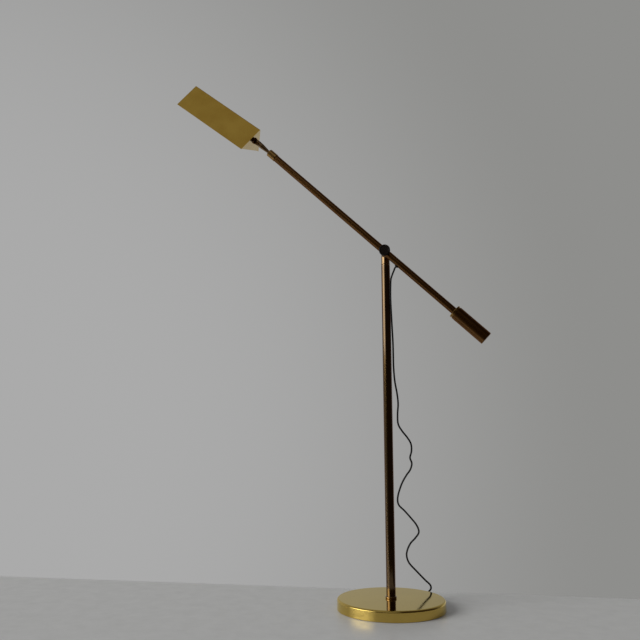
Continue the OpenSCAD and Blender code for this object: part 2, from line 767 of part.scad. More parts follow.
module cord_coil() {
    color("#141414") tube(coil_points, 6, [0, 0, 1], [-1, 0, 0], [-1, 0, 0]);
}

// Band round the coil's turns
module coil_tie() {
    band_t = 0.8;
    inner = coil_r - coil_step * coil_turns / 2 - cord_d / 2 - 2 * loose_gap;
    outer = coil_r + cord_d / 2 + 2 * loose_gap;
    height = coil_layer + cord_d + 2 * loose_gap;
    color("#4a4038") translate([coil_middle[0], coil_middle[1], coil_low_z - cord_d / 2 - loose_gap])
        rotate([90, 0, 0]) linear_extrude(6, center = true) difference() {
            translate([inner - band_t, -band_t]) square([outer - inner + 2 * band_t, height + 2 * band_t]);
            translate([inner, 0]) square([outer - inner, height]);
        }
}

module cord_tail() {
    color("#141414") tube(smooth(routed(tail_points), 2), 8, [0, 0, 1], [-1, 0, 0], plug_heading);
}

// Origin at the plug's rear face, local X along the blades
module plug_frame() {
    rear = routed(tail_points)[len(tail_points) - 1];
    translate(rear) rotate([0, 0, atan2(plug_heading[1], plug_heading[0])]) children();
}

module plug_body() {
    color("#1c1b1a") plug_frame() {
        along_x(0) cylinder(d1 = cord_d + 2, d2 = cord_d + 5, h = plug_sleeve + plug_w / 3);
        translate([plug_sleeve, 0, -plug_h / 2]) linear_extrude(plug_h) {
            translate([plug_w / 2, 0]) circle(d = plug_w);
            translate([plug_w / 2, -plug_w / 2]) square([plug_len - plug_sleeve - plug_w / 2, plug_w]);
        }
    }
}

module plug_blades() {
    color("#b0a27a") plug_frame() for (y = [-6.35, 6.35])
        translate([plug_len, y - 0.75, -3.15]) cube([17, 1.5, 6.3]);
}

base_cover();
base_weight();
base_felt();
base_rod();
base_washer();
base_nut();
foot_ring();
pole_foot_plug();
pole_tube();
pole_top_plug();
swivel_head();
swivel_stop_screw();
pivot_bolt();
pivot_knob();
arm_tube();
arm_bush();
friction_washers();
counterweight();
counterweight_ring();
counterweight_screw();
arm_collar();
cord_grommet();
neck();
neck_nut();
knuckle_screw();
knuckle_nut();
shade_lug();
shade_shell();
shade_end_near();
shade_end_far();
stub_nut();
bulb_socket();
bulb_cap();
bulb_glass();
switch_knob();
cord_exit();
cord_drop();
cord_hang();
cord_coil();
coil_tie();
cord_tail();
plug_body();
plug_blades();
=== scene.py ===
"""Looks for a floor-standing reading lamp: its finishes, mains lead, enamel lining, light and camera."""

from __future__ import annotations

import json
import logging
import math
from dataclasses import dataclass
from enum import Enum
from functools import cache
from typing import Any, Mapping, Sequence

import bmesh
import bpy
from mathutils import Matrix, Vector

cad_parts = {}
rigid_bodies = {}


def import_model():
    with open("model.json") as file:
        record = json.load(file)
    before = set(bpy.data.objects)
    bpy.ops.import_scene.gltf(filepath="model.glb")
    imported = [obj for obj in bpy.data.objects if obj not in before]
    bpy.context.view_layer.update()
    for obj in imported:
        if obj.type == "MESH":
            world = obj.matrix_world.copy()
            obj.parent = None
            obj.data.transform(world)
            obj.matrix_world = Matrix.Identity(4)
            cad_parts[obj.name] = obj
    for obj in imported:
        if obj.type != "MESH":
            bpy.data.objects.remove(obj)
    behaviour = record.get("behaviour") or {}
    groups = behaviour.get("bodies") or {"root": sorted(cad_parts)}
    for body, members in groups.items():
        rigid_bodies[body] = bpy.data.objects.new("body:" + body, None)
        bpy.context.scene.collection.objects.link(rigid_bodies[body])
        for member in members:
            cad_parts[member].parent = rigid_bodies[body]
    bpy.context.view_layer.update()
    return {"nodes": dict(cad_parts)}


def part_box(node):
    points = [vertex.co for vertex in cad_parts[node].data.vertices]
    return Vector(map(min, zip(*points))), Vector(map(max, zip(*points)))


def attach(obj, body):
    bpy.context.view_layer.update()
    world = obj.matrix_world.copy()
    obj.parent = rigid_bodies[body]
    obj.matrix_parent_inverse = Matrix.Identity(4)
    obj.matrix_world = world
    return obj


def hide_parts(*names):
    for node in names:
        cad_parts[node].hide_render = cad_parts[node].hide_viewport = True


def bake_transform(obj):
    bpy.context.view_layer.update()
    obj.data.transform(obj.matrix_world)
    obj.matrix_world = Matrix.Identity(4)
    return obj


LOG = logging.getLogger("reading_lamp")
MM = 0.001
Point = tuple[float, float, float]
Pair = tuple[float, float]
# Clear lacquer and other coats are polished
COAT_ROUGHNESS = 0.08
# A noise texture mostly keeps between these two
NOISE_SPAN: Pair = (0.3, 0.7)
# A path that starts closer to Y than this cosine takes Z as its first normal
NEAR_Y = 0.8
# The arm's rise in the photograph
ARM_RISE = math.radians(43.3)
ARM_AXIS: Point = (-math.cos(ARM_RISE), 0.0, math.sin(ARM_RISE))


class Body(str, Enum):
    """The moving groups that new pieces ride on."""

    STAND = "stand"
    HEAD = "head"
    ARM = "arm"
    SHADE = "shade"


class Slot(str, Enum):
    """The record's finishes that new pieces take."""

    ENAMEL = "satin_brass"
    LEAD = "rubber"
    PLUG = "black_plastic"
    TIE = "tie"
    FELT = "felt"


def linear(hex_colour: str) -> tuple[float, float, float, float]:
    """Turns an sRGB hex colour to linear light.

    Args:
        hex_colour: six hex digits with a leading #.

    Returns:
        Red, green, blue and an alpha of 1.
    """
    parts = [int(hex_colour[i : i + 2], 16) / 255 for i in (1, 3, 5)]
    r, g, b = (c / 12.92 if c <= 0.04045 else ((c + 0.055) / 1.055) ** 2.4 for c in parts)
    return r, g, b, 1.0


def add_node(
    tree: bpy.types.NodeTree,
    kind: str,
    values: Mapping[Any, Any] | None = None,
    links: Mapping[Any, bpy.types.NodeSocket] | None = None,
    **settings: Any,
) -> bpy.types.Node:
    """Adds a node with its settings, input values and incoming links.

    Args:
        tree: the node tree that takes the node.
        kind: the node's type name.
        values: input name or number to value.
        links: input name or number to the socket that feeds it.
        settings: attributes of the node itself.

    Returns:
        The new node.
    """
    node = tree.nodes.new(kind)
    for name, value in settings.items():
        setattr(node, name, value)
    for key, value in (values or {}).items():
        node.inputs[key].default_value = value
    for key, socket in (links or {}).items():
        tree.links.new(socket, node.inputs[key])
    return node


def new_material(
    name: str, **sockets: Any
) -> tuple[bpy.types.Material, bpy.types.NodeTree, bpy.types.Node]:
    """Makes a material with one principled shader.

    Args:
        name: the material's name.
        sockets: shader input names, with _ for spaces, and their values.

    Returns:
        The material, its node tree and its shader.
    """
    material = bpy.data.materials.new(name)
    material.use_nodes = True
    tree = material.node_tree
    shader = tree.nodes["Principled BSDF"]
    for key, value in sockets.items():
        shader.inputs[key.replace("_", " ")].default_value = value
    return material, tree, shader


def per_metre(spacing_mm: float) -> float:
    """Texture scale at which one cell is the given size."""
    return 1 / (spacing_mm * MM)


def span_values(source: Pair, target: Pair) -> dict[str, float]:
    """Input values that carry one span of numbers to another."""
    return {"From Min": source[0], "From Max": source[1], "To Min": target[0], "To Max": target[1]}


@dataclass(frozen=True)
class PolishedMetal:
    """Brass or steel, turned, drawn or spun, then polished and lacquered, with slow tarnish and fine wear.

    The eye sees clean reflections, slightly deeper colour in clouds some centimetres wide, and hairline
    marks along the way that the metal was worked. Real hairlines are too fine to show, so mark_mm draws
    them some ten times as coarse. Folded sheet also has slow waves, wave_mm apart.
    """

    name: str
    clean: str
    tarnished: str
    roughness: float
    cloud_mm: float
    mark_mm: float
    axis: Point = (0.0, 0.0, 1.0)
    spun: bool = False
    stretch: float = 30.0
    mark_depth: float = 0.05
    tarnish: float = 0.6
    spots: float = 0.1
    lacquer: float = 0.0
    edge: str = "#FFFFFF"
    wave_mm: float = 0.0
    speck_mm: float = 3.5
    cloud_span: Pair = (0.38, 0.72)
    speck_span: Pair = (0.62, 0.78)
    rough_shares: Pair = (0.9, 1.15)
    mark_height_mm: float = 0.4
    wave_height_mm: float = 2.2

    def _work_space(self, tree: bpy.types.NodeTree) -> bpy.types.NodeSocket:
        """Coordinates in which the marks run: stretched along the axis, or by radius on spun metal.

        Args:
            tree: the material's tree.

        Returns:
            The coordinates' socket.
        """
        place = add_node(tree, "ShaderNodeTexCoord").outputs["Object"]
        if self.spun:
            parts = add_node(tree, "ShaderNodeSeparateXYZ", links={0: place})
            flat = add_node(
                tree, "ShaderNodeCombineXYZ", links={"X": parts.outputs[0], "Y": parts.outputs[1]}
            )
            radius = add_node(tree, "ShaderNodeVectorMath", links={0: flat.outputs[0]}, operation="LENGTH")
            rings = add_node(
                tree, "ShaderNodeCombineXYZ", links={"X": radius.outputs["Value"], "Z": parts.outputs[2]}
            )
            return rings.outputs[0]
        turn = Vector(self.axis).to_track_quat("Z", "Y").inverted().to_euler()
        turned = add_node(
            tree, "ShaderNodeMapping", values={"Rotation": turn}, links={"Vector": place},
            vector_type="POINT",
        )
        drawn = add_node(
            tree, "ShaderNodeVectorMath", values={1: (1, 1, 1 / self.stretch)},
            links={0: turned.outputs[0]}, operation="MULTIPLY",
        )
        return drawn.outputs[0]

    @cache
    def material(self) -> bpy.types.Material:
        """Builds the finish, once for all the pieces that take it.

        Returns:
            The material.
        """
        made, tree, shader = new_material(
            self.name, Metallic=1.0, Coat_Weight=self.lacquer, Coat_Roughness=COAT_ROUGHNESS,
            Specular_Tint=linear(self.edge),
        )
        place = add_node(tree, "ShaderNodeTexCoord").outputs["Object"]
        marks = self._work_space(tree)
        cloud = add_node(
            tree, "ShaderNodeTexNoise", links={"Vector": place},
            values={"Scale": per_metre(self.cloud_mm), "Detail": 4.0, "Roughness": 0.6},
        )
        hair = add_node(
            tree, "ShaderNodeTexNoise", links={"Vector": marks},
            values={"Scale": per_metre(self.mark_mm), "Detail": 3.0, "Roughness": 0.7},
        )
        speck = add_node(
            tree, "ShaderNodeTexNoise", links={"Vector": place},
            values={"Scale": per_metre(self.speck_mm), "Detail": 5.0, "Roughness": 0.75},
        )
        depth = add_node(
            tree, "ShaderNodeMapRange", links={"Value": cloud.outputs[0]},
            values=span_values(self.cloud_span, (0.0, self.tarnish)),
        )
        spots = add_node(
            tree, "ShaderNodeMapRange", links={"Value": speck.outputs[0]},
            values=span_values(self.speck_span, (0.0, self.spots)),
        )
        both = add_node(
            tree, "ShaderNodeMath", links={0: depth.outputs[0], 1: spots.outputs[0]},
            operation="ADD", use_clamp=True,
        )
        ramp = add_node(tree, "ShaderNodeValToRGB", links={0: both.outputs[0]})
        for k, colour in enumerate((self.clean, self.tarnished)):
            ramp.color_ramp.elements[k].color = linear(colour)
        least, most = self.rough_shares
        rough = add_node(
            tree, "ShaderNodeMapRange", links={"Value": hair.outputs[0]},
            values=span_values(NOISE_SPAN, (self.roughness * least, self.roughness * most)),
        )
        bump = add_node(
            tree, "ShaderNodeBump", links={"Height": hair.outputs[0]},
            values={"Strength": self.mark_depth, "Distance": self.mark_height_mm * MM},
        )
        if self.wave_mm:
            wave = add_node(
                tree, "ShaderNodeTexNoise", links={"Vector": place},
                values={"Scale": per_metre(self.wave_mm), "Detail": 1.0},
            )
            bump = add_node(
                tree, "ShaderNodeBump", links={"Height": wave.outputs[0], "Normal": bump.outputs[0]},
                values={"Strength": 1.0, "Distance": self.wave_height_mm * MM},
            )
        tree.links.new(ramp.outputs[0], shader.inputs["Base Color"])
        tree.links.new(rough.outputs[0], shader.inputs["Roughness"])
        tree.links.new(bump.outputs[0], shader.inputs["Normal"])
        return made


@dataclass(frozen=True)
class GrainySolid:
    """Moulded, cast, pressed or enamelled stuff: one colour with a second in its grain, and a fine bump.

    Grain that is too fine to show is drawn as coarse as it needs to show.
    """

    name: str
    colour: str
    grain_colour: str
    roughness: float
    grain_mm: float
    bump: float
    coat: float = 0.0
    sheen: float = 0.0
    metallic: float = 0.0
    glow: float = 0.0
    glow_colour: str = "#FFD9A0"
    transmission: float = 0.0
    gloss: float = 0.5
    grain_span: Pair = (0.35, 0.7)
    rough_shares: Pair = (0.85, 1.2)
    grain_height_mm: float = 0.6

    @cache
    def material(self) -> bpy.types.Material:
        """Builds the finish, once for all the pieces that take it.

        Returns:
            The material.
        """
        made, tree, shader = new_material(
            self.name, Metallic=self.metallic, Coat_Weight=self.coat, Coat_Roughness=COAT_ROUGHNESS,
            Sheen_Weight=self.sheen, Transmission_Weight=self.transmission,
            Emission_Color=linear(self.glow_colour), Emission_Strength=self.glow,
            Specular_IOR_Level=self.gloss,
        )
        place = add_node(tree, "ShaderNodeTexCoord").outputs["Object"]
        grain = add_node(
            tree, "ShaderNodeTexNoise", links={"Vector": place},
            values={"Scale": per_metre(self.grain_mm), "Detail": 5.0, "Roughness": 0.65},
        )
        ramp = add_node(tree, "ShaderNodeValToRGB", links={0: grain.outputs[0]})
        for k, colour in enumerate((self.colour, self.grain_colour)):
            ramp.color_ramp.elements[k].position = self.grain_span[k]
            ramp.color_ramp.elements[k].color = linear(colour)
        least, most = self.rough_shares
        rough = add_node(
            tree, "ShaderNodeMapRange", links={"Value": grain.outputs[0]},
            values=span_values(NOISE_SPAN, (self.roughness * least, self.roughness * most)),
        )
        height = add_node(
            tree, "ShaderNodeBump", links={"Height": grain.outputs[0]},
            values={"Strength": self.bump, "Distance": self.grain_height_mm * MM},
        )
        tree.links.new(ramp.outputs[0], shader.inputs["Base Color"])
        tree.links.new(rough.outputs[0], shader.inputs["Roughness"])
        tree.links.new(height.outputs[0], shader.inputs["Normal"])
        return made


Finish = PolishedMetal | GrainySolid


@dataclass(frozen=True)
class Finishes:
    """Every finish on the lamp, named for what it is, how it was made, and any shade or highlight painted
    into it.
    """

    # Spun and polished brass: nearly a mirror, with faint rings from the lathe
    spun_brass: PolishedMetal = PolishedMetal(
        "spun_polished_brass", "#D6B65A", "#C3A248", roughness=0.09, cloud_mm=70, mark_mm=1.6, spun=True,
        mark_depth=0.01, tarnish=0.4, lacquer=0.5, edge="#FFFAD2",
    )
    # Folded brass sheet, satin: soft reflections drawn out along the fold
    sheet_brass: PolishedMetal = PolishedMetal(
        "satin_brass_sheet", "#D4AE52", "#BE9540", roughness=0.14, cloud_mm=60, mark_mm=1.2, axis=ARM_AXIS,
        stretch=40, mark_depth=0.01, tarnish=0.6, wave_mm=70,
    )
    # The shade's two end plates: brass under a full clear coat, painted paler to stand in for the lit wall
    # they reflect, so they look paler at a slant
    plate_brass_painted_pale: PolishedMetal = PolishedMetal(
        "brass_plate_painted_pale", "#CEB885", "#BDA26D", roughness=0.2, cloud_mm=60, mark_mm=1.2, stretch=8,
        mark_depth=0.01, tarnish=0.6, lacquer=1.0,
    )
    # Drawn brass tube under lacquer, painted dark brown to stand in for the dark room its polish reflects:
    # glossy, with streaks along the tube
    pole_brass_painted_dark: PolishedMetal = PolishedMetal(
        "brass_pole_painted_dark", "#624922", "#543C1A", roughness=0.15, cloud_mm=45, mark_mm=1.5,
        mark_depth=0.002, lacquer=0.8, edge="#C9A070",
    )
    # The same tube on the arm, with thinner lacquer, painted a warmer dark brown for the dark room it
    # reflects: softer reflections
    arm_brass_painted_dark: PolishedMetal = PolishedMetal(
        "brass_arm_painted_dark", "#765024", "#633F1A", roughness=0.26, cloud_mm=45, mark_mm=1.5, axis=ARM_AXIS,
        mark_depth=0.002, lacquer=0.3, edge="#C9A878",
    )
    # Turned brass fittings, painted brown to stand in for the dark room they reflect, but lighter than the
    # tubes: clear highlights
    turned_brass_painted_brown: PolishedMetal = PolishedMetal(
        "brass_fittings_painted_brown", "#86673A", "#6F5029", roughness=0.16, cloud_mm=25, mark_mm=0.9, stretch=4,
        lacquer=0.8,
    )
    # Turned brass on the collar and the counterweight's ring, painted lighter than the other fittings to
    # stand in for their brighter highlights
    fitting_brass_painted_bright: PolishedMetal = PolishedMetal(
        "brass_fittings_painted_bright", "#AC8442", "#8F6B34", roughness=0.15, cloud_mm=18, mark_mm=0.9, stretch=4,
        lacquer=0.5,
    )
    # Zinc plate on steel fasteners: pale grey, a little cloudy
    plated_steel: PolishedMetal = PolishedMetal(
        "plated_steel", "#B9BBBD", "#8E9092", roughness=0.28, cloud_mm=12, mark_mm=0.8, stretch=3
    )
    # Grey iron as cast: dark and rough
    cast_iron: GrainySolid = GrainySolid(
        "cast_iron", "#2C2B2A", "#3C3A38", roughness=0.7, grain_mm=1.6, bump=0.7, metallic=0.6
    )
    # Pressed wool felt: dull, with short fibres
    wool_felt: GrainySolid = GrainySolid(
        "wool_felt", "#263024", "#36432F", roughness=0.95, grain_mm=1.1, bump=0.9, sheen=0.4
    )
    # Moulded phenolic: black, smooth, a little glossy
    phenolic: GrainySolid = GrainySolid(
        "moulded_phenolic", "#0C0805", "#150E09", roughness=0.45, grain_mm=2.5, bump=0.06, gloss=0.2
    )
    # Soft vinyl over the mains lead: black, dull, dusty in its low places
    vinyl_lead: GrainySolid = GrainySolid(
        "vinyl_lead", "#0A0909", "#151413", roughness=0.5, grain_mm=1.2, bump=0.15, gloss=0.35
    )
    # Vulcanised fibre of the friction washers: brown, dull and mottled
    fibre: GrainySolid = GrainySolid(
        "vulcanised_fibre", "#5B4530", "#7A5F44", roughness=0.6, grain_mm=0.9, bump=0.3
    )
    # Vitreous white enamel inside the shade: smooth and bright, with a faint unevenness
    enamel: GrainySolid = GrainySolid(
        "white_enamel", "#EFEAE0", "#E3DCCE", roughness=0.25, grain_mm=9.0, bump=0.03, coat=0.4
    )
    # Frosted bulb, lit at a low level: a soft warm glow
    frosted_bulb: GrainySolid = GrainySolid(
        "frosted_bulb", "#F4EBD8", "#EFE4CC", roughness=0.45, grain_mm=6.0, bump=0.02, glow=1.6,
        transmission=0.2,
    )
    # Woven tape of the tie: dull, with the grain of its weave
    tape: GrainySolid = GrainySolid(
        "woven_tape", "#3A332C", "#57504A", roughness=0.85, grain_mm=0.7, bump=0.8, sheen=0.3
    )


def link_mesh(name: str, mesh: bmesh.types.BMesh, smooth: bool = True) -> bpy.types.Object:
    """Turns a bmesh into an object in the scene.

    Args:
        name: the piece's name.
        mesh: the bmesh, which is freed.
        smooth: whether its faces are shaded smooth.

    Returns:
        The object.
    """
    bmesh.ops.recalc_face_normals(mesh, faces=mesh.faces[:])
    data = bpy.data.meshes.new(name)
    mesh.to_mesh(data)
    mesh.free()
    for face in data.polygons:
        face.use_smooth = smooth
    made = bpy.data.objects.new(name, data)
    bpy.context.scene.collection.objects.link(made)
    return made


def dress(piece: bpy.types.Object, material: bpy.types.Material) -> None:
    """Gives a piece one material in place of what it had, and reports it.

    Args:
        piece: the piece.
        material: the material that it takes.
    """
    piece.data.materials.clear()
    piece.data.materials.append(material)
    for face in piece.data.polygons:
        face.material_index = 0
    LOG.info("%s: %s", piece.name, material.name)


def dress_nodes(
    nodes: Mapping[str, bpy.types.Object], groups: Sequence[tuple[Sequence[str], Finish]]
) -> None:
    """Gives groups of the part's own nodes their finishes.

    Args:
        nodes: the part's objects by the names of their nodes.
        groups: names of nodes, each with the finish that they share.
    """
    for names, finish in groups:
        material = finish.material()
        for name in names:
            dress(nodes[name], material)


def spline_point(a: Vector, b: Vector, c: Vector, d: Vector, t: float) -> Vector:
    """Point of the smooth curve between b and c, as the part's source has it."""
    return (2 * b + (c - a) * t + (2 * a - 5 * b + 4 * c - d) * t**2 + (3 * b - a - 3 * c + d) * t**3) / 2


def smooth_path(points: Sequence[Point], steps: int) -> list[Vector]:
    """Smooth curve through points in millimetres.

    Args:
        points: the route's points, in millimetres.
        steps: how many steps lie between two neighbours.

    Returns:
        The curve's points, in metres.
    """
    p = [Vector(q) * MM for q in points]
    last = len(p) - 1
    path = [
        spline_point(p[max(i - 1, 0)], p[i], p[i + 1], p[min(i + 2, last)], k / steps)
        for i in range(last)
        for k in range(steps)
    ]
    return path + [p[last]]


def path_length(path: Sequence[Vector]) -> float:
    """Length along a path."""
    return sum((b - a).length for a, b in zip(path, path[1:]))


def join_rings(
    mesh: bmesh.types.BMesh, rings: list[list[bmesh.types.BMVert]], closed: bool = False
) -> None:
    """Joins rings of points, each to the next.

    Args:
        mesh: the bmesh that takes the faces.
        rings: the rings, each with the same number of points.
        closed: whether the last ring joins the first; if not, both ends get a cap.
    """
    following = rings[1:] + rings[:1] if closed else rings[1:]
    for low, high in zip(rings, following):
        for k in range(len(low)):
            n = (k + 1) % len(low)
            mesh.faces.new((low[k], low[n], high[n], high[k]))
    if not closed:
        mesh.faces.new(rings[0][::-1])
        mesh.faces.new(rings[-1])


def sweep(
    path: Sequence[Vector], radius: float, sides: int, first: Vector, last: Vector
) -> bmesh.types.BMesh:
    """Sweeps a round section along a path without twist.

    Args:
        path: the centreline.
        radius: the section's radius.
        sides: corners of the section.
        first: normal of the first end face.
        last: normal of the last end face.

    Returns:
        The closed tube.
    """
    mesh = bmesh.new()
    end = len(path) - 1
    side = Vector((0.0, 1.0, 0.0)) if abs(first.normalized().y) < NEAR_Y else Vector((0.0, 0.0, 1.0))
    turns = [2 * math.pi * k / sides for k in range(sides)]
    rings: list[list[bmesh.types.BMVert]] = []
    for i, place in enumerate(path):
        along = path[min(i + 1, end)] - path[max(i - 1, 0)]
        along = (first if i == 0 else last if i == end else along).normalized()
        side = (side - along * side.dot(along)).normalized()
        over = along.cross(side)
        spots = [place + radius * (math.cos(t) * side + math.sin(t) * over) for t in turns]
        rings.append([mesh.verts.new(spot) for spot in spots])
    join_rings(mesh, rings)
    return mesh


@dataclass
class MainsLead:
    """The lead from the arm's grommet down to the floor, with its put-away coil, tail and plug.

    Sizes and route points are in millimetres. The fields bend_points, turn_from and turn_to are not used.
    """

    diameter: float = 4.4
    arm_y: float = -22.0
    pivot_z: float = 856.3
    arm_radius: float = 8.75
    exit_along: float = 47.5
    exit_straight: float = 6.0
    coil_turns: int = 7
    coil_radius: float = 30.7
    coil_step: float = 4.9
    coil_layer: float = 5.0
    coil_low: float = 3.3
    coil_gate: Pair = (-3.0, 132.3)
    climb_turns: float = 0.5
    rings_per_turn: int = 32
    route_steps: int = 6
    sides: int = 12
    bend_points: int = 15
    turn_from: Point = (0, 0, 0.718)
    turn_to: Point = (0, 0, 0.56)
    below_pivot: tuple[Point, ...] = ((21.6, 0, -50.5), (18.3, 0, -58.3))
    head_points: tuple[Point, ...] = (
        (13.7, -15.1, 786), (12.4, -11.3, 770), (11.7, -8.4, 752), (11.7, -7.6, 737), (12, -7, 720),
    )
    hang_points: tuple[Point, ...] = (
        (12, -7, 720), (13, -5, 690), (14, -1, 660), (15, 3, 630), (15, 10, 600), (15, 14, 570),
        (17, 20, 535), (22, 24, 503), (24, 28, 478), (22, 32, 452), (23, 35, 428), (33, 38, 410),
        (44, 42, 396), (53, 45, 380), (54, 47, 362), (50, 49, 346), (54, 52, 332), (50, 53, 317),
        (40, 53, 303), (28, 55, 282), (18, 57, 252), (19, 61, 232), (33, 65, 217), (48, 69, 200),
        (62, 73, 182), (67, 76, 165), (58, 76, 151), (46, 77, 138), (38, 77, 122), (36, 79, 107),
        (42, 82, 90), (60, 88, 70), (79, 94, 50), (91, 99, 38), (93, 103, 28), (86, 109, 18),
        (79, 115, 9), (67, 122, 4), (50, 129, 2.5), (24, 134, 2.6), (1.8, 132.3, 3.3),
    )
    tail_points: tuple[Point, ...] = (
        (-7.8, 132.3, 8.3), (-19, 133, 8.2), (-32, 132.8, 7.8), (-45, 131, 7.4),
    )
    plug_heading: Point = (-0.97, -0.24, 0.0)

    def upper_path(self) -> list[Vector]:
        """Centreline from inside the grommet down past the head, to where the lower stretch begins.

        Returns:
            The path, in metres.
        """
        down = Vector((-math.sin(ARM_RISE), 0, -math.cos(ARM_RISE)))
        pivot = Vector((0, self.arm_y, self.pivot_z))
        mouth = pivot + self.exit_along * Vector((math.cos(ARM_RISE), 0, -math.sin(ARM_RISE)))
        straight = (self.arm_radius, self.arm_radius + self.exit_straight)
        points = [
            *(tuple(mouth + far * down) for far in straight),
            *(tuple(pivot + Vector(q)) for q in self.below_pivot),
            *self.head_points,
        ]
        return smooth_path(points, self.route_steps)

    def coil_centre(self) -> Vector:
        """The coil's middle on the floor."""
        return Vector((self.coil_gate[0], self.coil_gate[1] + self.coil_radius, 0))

    def coil_path(self) -> list[Vector]:
        """Centreline of the coil: in on the floor, up a layer in the middle half turn, and out on top.

        Returns:
            The path, in metres.
        """
        half = self.coil_turns / 2
        centre = self.coil_centre()
        path = []
        for i in range(self.coil_turns * self.rings_per_turn + 1):
            k = i / self.rings_per_turn
            turn = math.radians(-90 - 360 * k)
            radius = self.coil_radius - self.coil_step * (half - abs(half - k))
            climb = min(max((k - half) / self.climb_turns + 0.5, 0), 1)
            height = self.coil_low + self.coil_layer * (3 - 2 * climb) * climb * climb
            path.append((centre + Vector((radius * math.cos(turn), radius * math.sin(turn), height))) * MM)
        return path

    def lower_path(self) -> list[Vector]:
        """Centreline from the head's level to the plug, through the coil.

        Returns:
            The path, in metres.
        """
        hang = smooth_path(self.hang_points, self.route_steps)
        tail = smooth_path(self.tail_points, self.route_steps)
        return hang + self.coil_path() + tail

    def build(self, finishes: Finishes) -> None:
        """Makes the two stretches of lead, the plug and the tie.

        Args:
            finishes: the lamp's finishes.
        """
        vinyl = finishes.vinyl_lead.material()
        radius = self.diameter / 2 * MM
        upper = self.upper_path()
        lower = self.lower_path()
        moulding = PlugMoulding(self.plug_heading, self.tail_points[-1], self.diameter)
        plug = moulding.build(finishes.phenolic.material())
        tie = CoilTie(self).build(finishes.tape.material())
        down = Vector((0, 0, -1))
        first = link_mesh("lead_upper", sweep(upper, radius, self.sides, upper[1] - upper[0], down))
        dress(first, vinyl)
        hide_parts("cord_exit", "cord_drop")
        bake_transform(first)
        second = link_mesh("lead_lower", sweep(lower, radius, self.sides, down, Vector(self.plug_heading)))
        dress(second, vinyl)
        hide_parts("cord_hang", "cord_coil", "cord_tail")
        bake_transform(second)
        LOG.info("lead: %.3f m above, %.3f m below", path_length(upper), path_length(lower))


@dataclass
class PlugMoulding:
    """Moulded two-blade plug with a ribbed, tapered sleeve; sizes are in millimetres.

    Each body row holds a share of the body's length, of its width and of its height.
    """

    heading: Point
    rear: Point
    lead_diameter: float
    length: float = 42.0
    sleeve: float = 20.0
    sleeve_walls: Pair = (0.7, 2.3)
    ribs: int = 8
    rib_steps: int = 4
    rib_depth: float = 0.35
    width: float = 17.0
    height: float = 13.0
    corners: int = 28
    round_power: float = 2.0
    square_power: float = 4.0
    body_rows: tuple[Point, ...] = (
        (0.03, 0.62, 0.78), (0.12, 0.80, 0.92), (0.28, 0.96, 1.0), (0.42, 0.92, 1.0), (0.55, 0.88, 1.0),
        (0.68, 0.92, 1.0), (0.8, 1.0, 1.0), (0.95, 1.0, 1.0), (0.985, 0.97, 0.97), (1.0, 0.93, 0.93),
    )

    def _sections(self) -> list[tuple[float, float, float, float]]:
        """Stations along the plug.

        Returns:
            Place, half width, half height and squareness of each.
        """
        start, stop = (self.lead_diameter / 2 + wall for wall in self.sleeve_walls)
        count = self.ribs * self.rib_steps
        plain = self.rib_steps // 2
        rows: list[tuple[float, float, float, float]] = []
        for i in range(count + 1):
            share = i / count
            groove = self.rib_depth if i % self.rib_steps >= plain and i < count - plain else 0.0
            r = start + (stop - start) * share - groove
            rows.append((share * self.sleeve, r, r, self.round_power))
        half_w, half_h = self.width / 2, self.height / 2
        body = self.length - self.sleeve
        for share, wide, tall in self.body_rows:
            rows.append((self.sleeve + share * body, half_w * wide, half_h * tall, self.square_power))
        return rows

    def build(self, material: bpy.types.Material) -> bpy.types.Object:
        """Lofts the plug through its stations.

        Args:
            material: the plug's finish.

        Returns:
            The plug.
        """
        mesh = bmesh.new()
        along = Vector(self.heading).normalized()
        side = Vector((0, 0, 1)).cross(along)
        rear = Vector(self.rear)
        rings = []
        for x, wide, tall, power in self._sections():
            ring = []
            for k in range(self.corners):
                t = 2 * math.pi * k / self.corners
                c, s = math.cos(t), math.sin(t)
                y = wide * math.copysign(abs(c) ** (2 / power), c)
                z = tall * math.copysign(abs(s) ** (2 / power), s)
                ring.append(mesh.verts.new((rear + x * along + y * side + Vector((0, 0, z))) * MM))
            rings.append(ring)
        join_rings(mesh, rings)
        plug = link_mesh("plug_moulding", mesh)
        dress(plug, material)
        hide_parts("plug_body")
        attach(plug, Body.STAND.value)
        return plug


